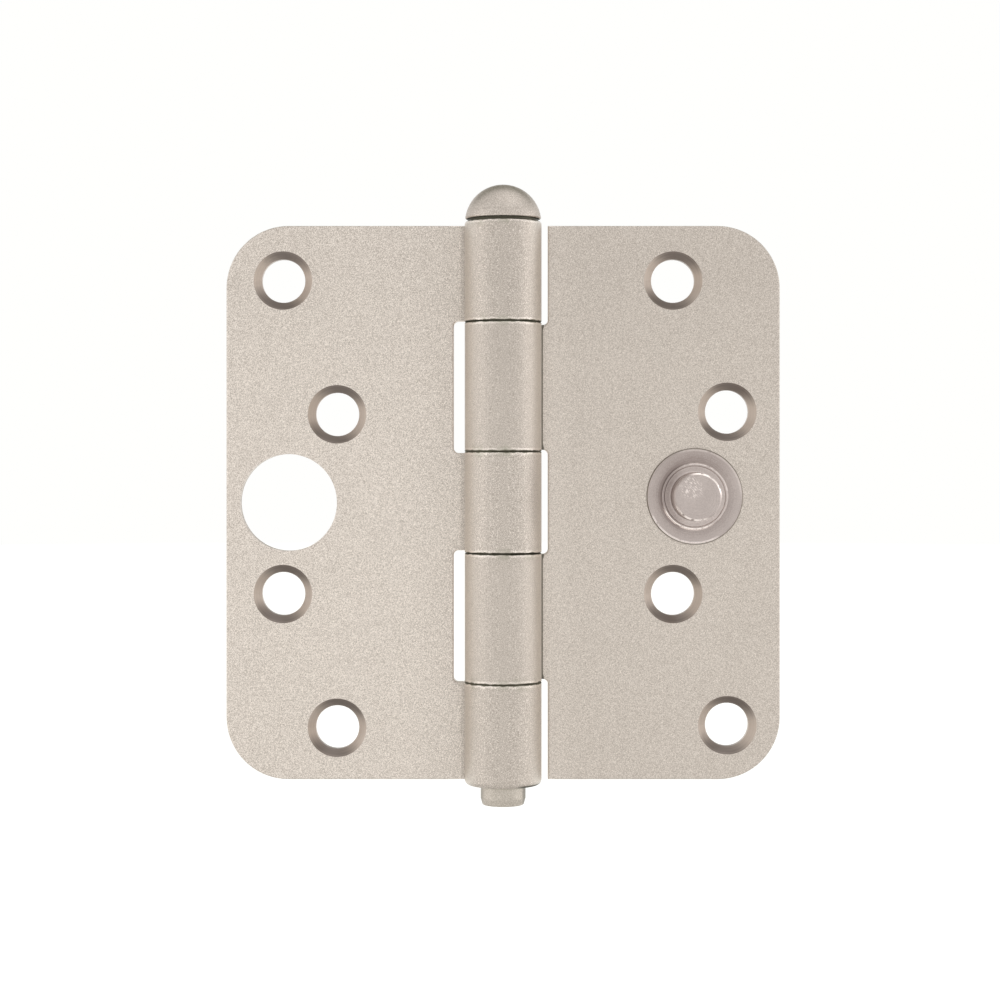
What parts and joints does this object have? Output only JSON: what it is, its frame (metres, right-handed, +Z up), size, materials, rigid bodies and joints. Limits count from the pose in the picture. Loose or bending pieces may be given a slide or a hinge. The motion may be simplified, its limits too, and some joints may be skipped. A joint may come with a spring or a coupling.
{
  "type": "loose pin butt hinge",
  "caption": "Round-cornered loose pin butt hinge: rolled leaves with countersunk holes, a domed pin that lifts out, and a stud that enters the facing leaf when the hinge is shut.",
  "frame": {"origin": "on the pin axis, at mid height of the leaves", "axes": "+Z up the pin towards its head, +X towards the leaf with the stud, -Y the side that the countersinks face; the hinge lies open flat"},
  "size_m": [0.089, 0.0122, 0.0992],
  "materials": {
    "leaf_steel": "zinc coated steel, fine grained satin",
    "pin_steel": "zinc coated steel, fine grained satin",
    "stud_steel": "turned steel, smooth satin"
  },
  "bodies": {
    "left_side": {"left_leaf": "leaf_steel"},
    "right_side": {"right_leaf": "leaf_steel", "security_stud": "stud_steel"},
    "pin": {"loose_pin": "pin_steel"}
  },
  "joints": [
    {"name": "leaf_swing", "type": "hinge", "parent": "left_side", "child": "right_side", "pos_m": [0, 0, 0], "axis": [0, 0, -1], "range_deg": [-120, 180]},
    {"name": "pin_lift", "type": "slide", "parent": "left_side", "child": "pin", "axis": [0, 0, 1], "range_m": [0, 0.095]}
  ]
}
